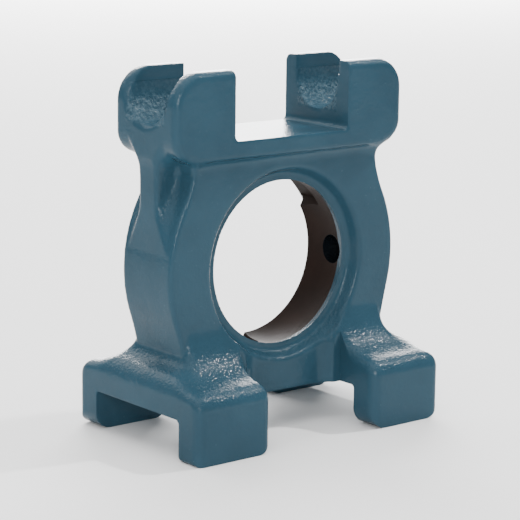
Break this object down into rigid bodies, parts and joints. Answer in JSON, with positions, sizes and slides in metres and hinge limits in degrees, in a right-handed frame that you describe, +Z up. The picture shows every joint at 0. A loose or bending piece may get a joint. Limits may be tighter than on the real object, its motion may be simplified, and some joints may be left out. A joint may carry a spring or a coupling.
{
  "type": "take-up bearing housing",
  "caption": "Cast take-up housing: hub with a spherical seat for an insert bearing, slotted lug blocks for nut and adjusting screw on top, and feet that straddle a guide rail.",
  "frame": {"origin": "plane the feet stand on, straight under the centre of the bearing seat", "axes": "+X along the guide rail and the adjusting screw, towards the grease hole; +Y along the bearing's axis, away from the front face; +Z up to the lug blocks"},
  "size_m": [0.0936, 0.0596, 0.11],
  "materials": {
    "housing": "glossy blue-green enamel over the as-cast skin; the spherical seat is bare machined iron"
  },
  "bodies": {
    "root": {"housing": "housing"}
  },
  "joints": []
}
